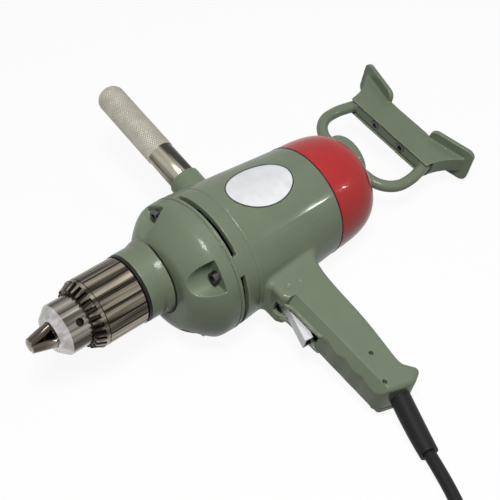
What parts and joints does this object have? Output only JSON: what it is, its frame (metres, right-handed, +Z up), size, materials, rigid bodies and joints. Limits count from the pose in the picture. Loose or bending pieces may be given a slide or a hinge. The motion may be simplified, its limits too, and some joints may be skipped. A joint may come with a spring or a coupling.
{
  "type": "power drill",
  "caption": "Heavy corded drill with keyed jaw chuck, gear case, tapered motor barrel, pistol grip with trigger, knurled side bar, rear loop handle and breast plate.",
  "frame": {"origin": "on the floor under the middle of the drill's own box, its cord left out", "axes": "+Z up with the drill lying on its side as in the picture, +X towards the chuck, +Y towards the end of the pistol grip"},
  "size_m": [0.4385, 0.6595, 0.1183],
  "materials": {
    "green_casting": "cast and painted sage green, satin",
    "red_casting": "cast and painted red, glossy",
    "bare_aluminium": "bare, satin",
    "steel": "ground and polished",
    "screw_steel": "blackened",
    "yellow_zinc": "yellow zinc plating, knurled",
    "nickel": "bright nickel plating",
    "laminations": "stacked sheet, lacquered",
    "copper": "copper",
    "brass": "brass",
    "dark_plastic": "moulded, matte",
    "rubber": "smooth",
    "plug_plastic": "moulded"
  },
  "bodies": {
    "body": {"motor_housing": "green_casting", "gear_case": "green_casting", "gear_plate": "bare_aluminium", "end_cap": "red_casting", "grip_cover": "green_casting", "name_plate": "bare_aluminium", "side_handle": "yellow_zinc", "d_handle": "green_casting", "breast_plate": "green_casting", "gear_case_screws": "screw_steel", "end_cap_screws": "screw_steel", "d_handle_screws": "screw_steel", "breast_plate_screws": "screw_steel", "grip_cover_screws": "screw_steel", "trigger_pin": "steel", "switch_pin": "steel", "switch_body": "dark_plastic", "stator_core": "laminations", "field_coils": "copper", "brush_ring": "dark_plastic", "brush_holders": "brass", "carbon_brushes": "dark_plastic", "armature_bearing_front": "steel", "armature_bearing_rear": "steel", "intermediate_bearing_front": "steel", "intermediate_bearing_rear": "steel", "spindle_bearing_front": "steel", "spindle_bearing_rear": "steel", "dust_seal": "rubber", "cord_guard": "rubber", "cord_clamp": "screw_steel", "cord": "rubber", "cord_coil": "rubber", "cord_tie": "rubber", "plug_body": "plug_plastic", "plug_pins": "nickel"},
    "armature": {"armature_shaft": "steel", "armature_core": "laminations", "armature_winding": "copper", "commutator": "copper", "cooling_fan": "dark_plastic"},
    "intermediate": {"intermediate_shaft": "steel", "intermediate_gear": "steel"},
    "spindle": {"spindle": "steel", "spindle_gear": "steel", "chuck_body": "steel"},
    "chuck_sleeve": {"chuck_sleeve": "steel", "chuck_nut": "steel"},
    "chuck_jaw_1": {"chuck_jaw_1": "steel"},
    "chuck_jaw_2": {"chuck_jaw_2": "steel"},
    "chuck_jaw_3": {"chuck_jaw_3": "steel"},
    "trigger": {"trigger": "nickel"},
    "switch_button": {"switch_button": "dark_plastic"}
  },
  "joints": [
    {"name": "armature_turn", "type": "hinge", "parent": "body", "child": "armature", "pos_m": [0.06128, 0.00104, 0.05915], "axis": [0.9967, 0, 0.0808], "continuous": true},
    {"name": "intermediate_turn", "type": "hinge", "parent": "body", "child": "intermediate", "pos_m": [0.07183, 0.00665, 0.08753], "axis": [0.9967, 0, 0.0808], "continuous": true},
    {"name": "spindle_turn", "type": "hinge", "parent": "body", "child": "spindle", "pos_m": [0.08344, -0.00951, 0.06311], "axis": [0.9967, 0, 0.0808], "continuous": true},
    {"name": "chuck_sleeve_turn", "type": "hinge", "parent": "spindle", "child": "chuck_sleeve", "pos_m": [0.12141, -0.00951, 0.06619], "axis": [0.9967, 0, 0.0808], "range_deg": [0, 4320]},
    {"name": "chuck_jaw_1_slide", "type": "slide", "parent": "spindle", "child": "chuck_jaw_1", "axis": [-0.9889, -0.0484, 0.1402], "range_m": [0, 0.03558]},
    {"name": "chuck_jaw_2_slide", "type": "slide", "parent": "spindle", "child": "chuck_jaw_2", "axis": [-0.9657, 0.2145, -0.1464], "range_m": [0, 0.03558]},
    {"name": "chuck_jaw_3_slide", "type": "slide", "parent": "spindle", "child": "chuck_jaw_3", "axis": [-0.9589, -0.166, -0.23], "range_m": [0, 0.03558]},
    {"name": "trigger_pull", "type": "hinge", "parent": "body", "child": "trigger", "pos_m": [0.02717, 0.0657, 0.04311], "axis": [-0.0792, 0.2004, 0.9765], "range_deg": [0, 12], "stiffness_Nm_per_rad": 1.2, "springref_deg": -6.88},
    {"name": "switch_button_slide", "type": "slide", "parent": "body", "child": "switch_button", "axis": [-0.9967, 0, -0.0808], "range_m": [0, 0.0062]}
  ],
  "couplings": [
    {"joint": "intermediate_turn", "follows": "armature_turn", "ratio": -0.19149},
    {"joint": "spindle_turn", "follows": "armature_turn", "ratio": 0.055594},
    {"joint": "chuck_jaw_1_slide", "follows": "chuck_sleeve_turn", "m_per_rad": 0.00047167},
    {"joint": "chuck_jaw_2_slide", "follows": "chuck_sleeve_turn", "m_per_rad": 0.00047167},
    {"joint": "chuck_jaw_3_slide", "follows": "chuck_sleeve_turn", "m_per_rad": 0.00047167},
    {"joint": "switch_button_slide", "follows": "trigger_pull", "m_per_rad": 0.0295}
  ]
}
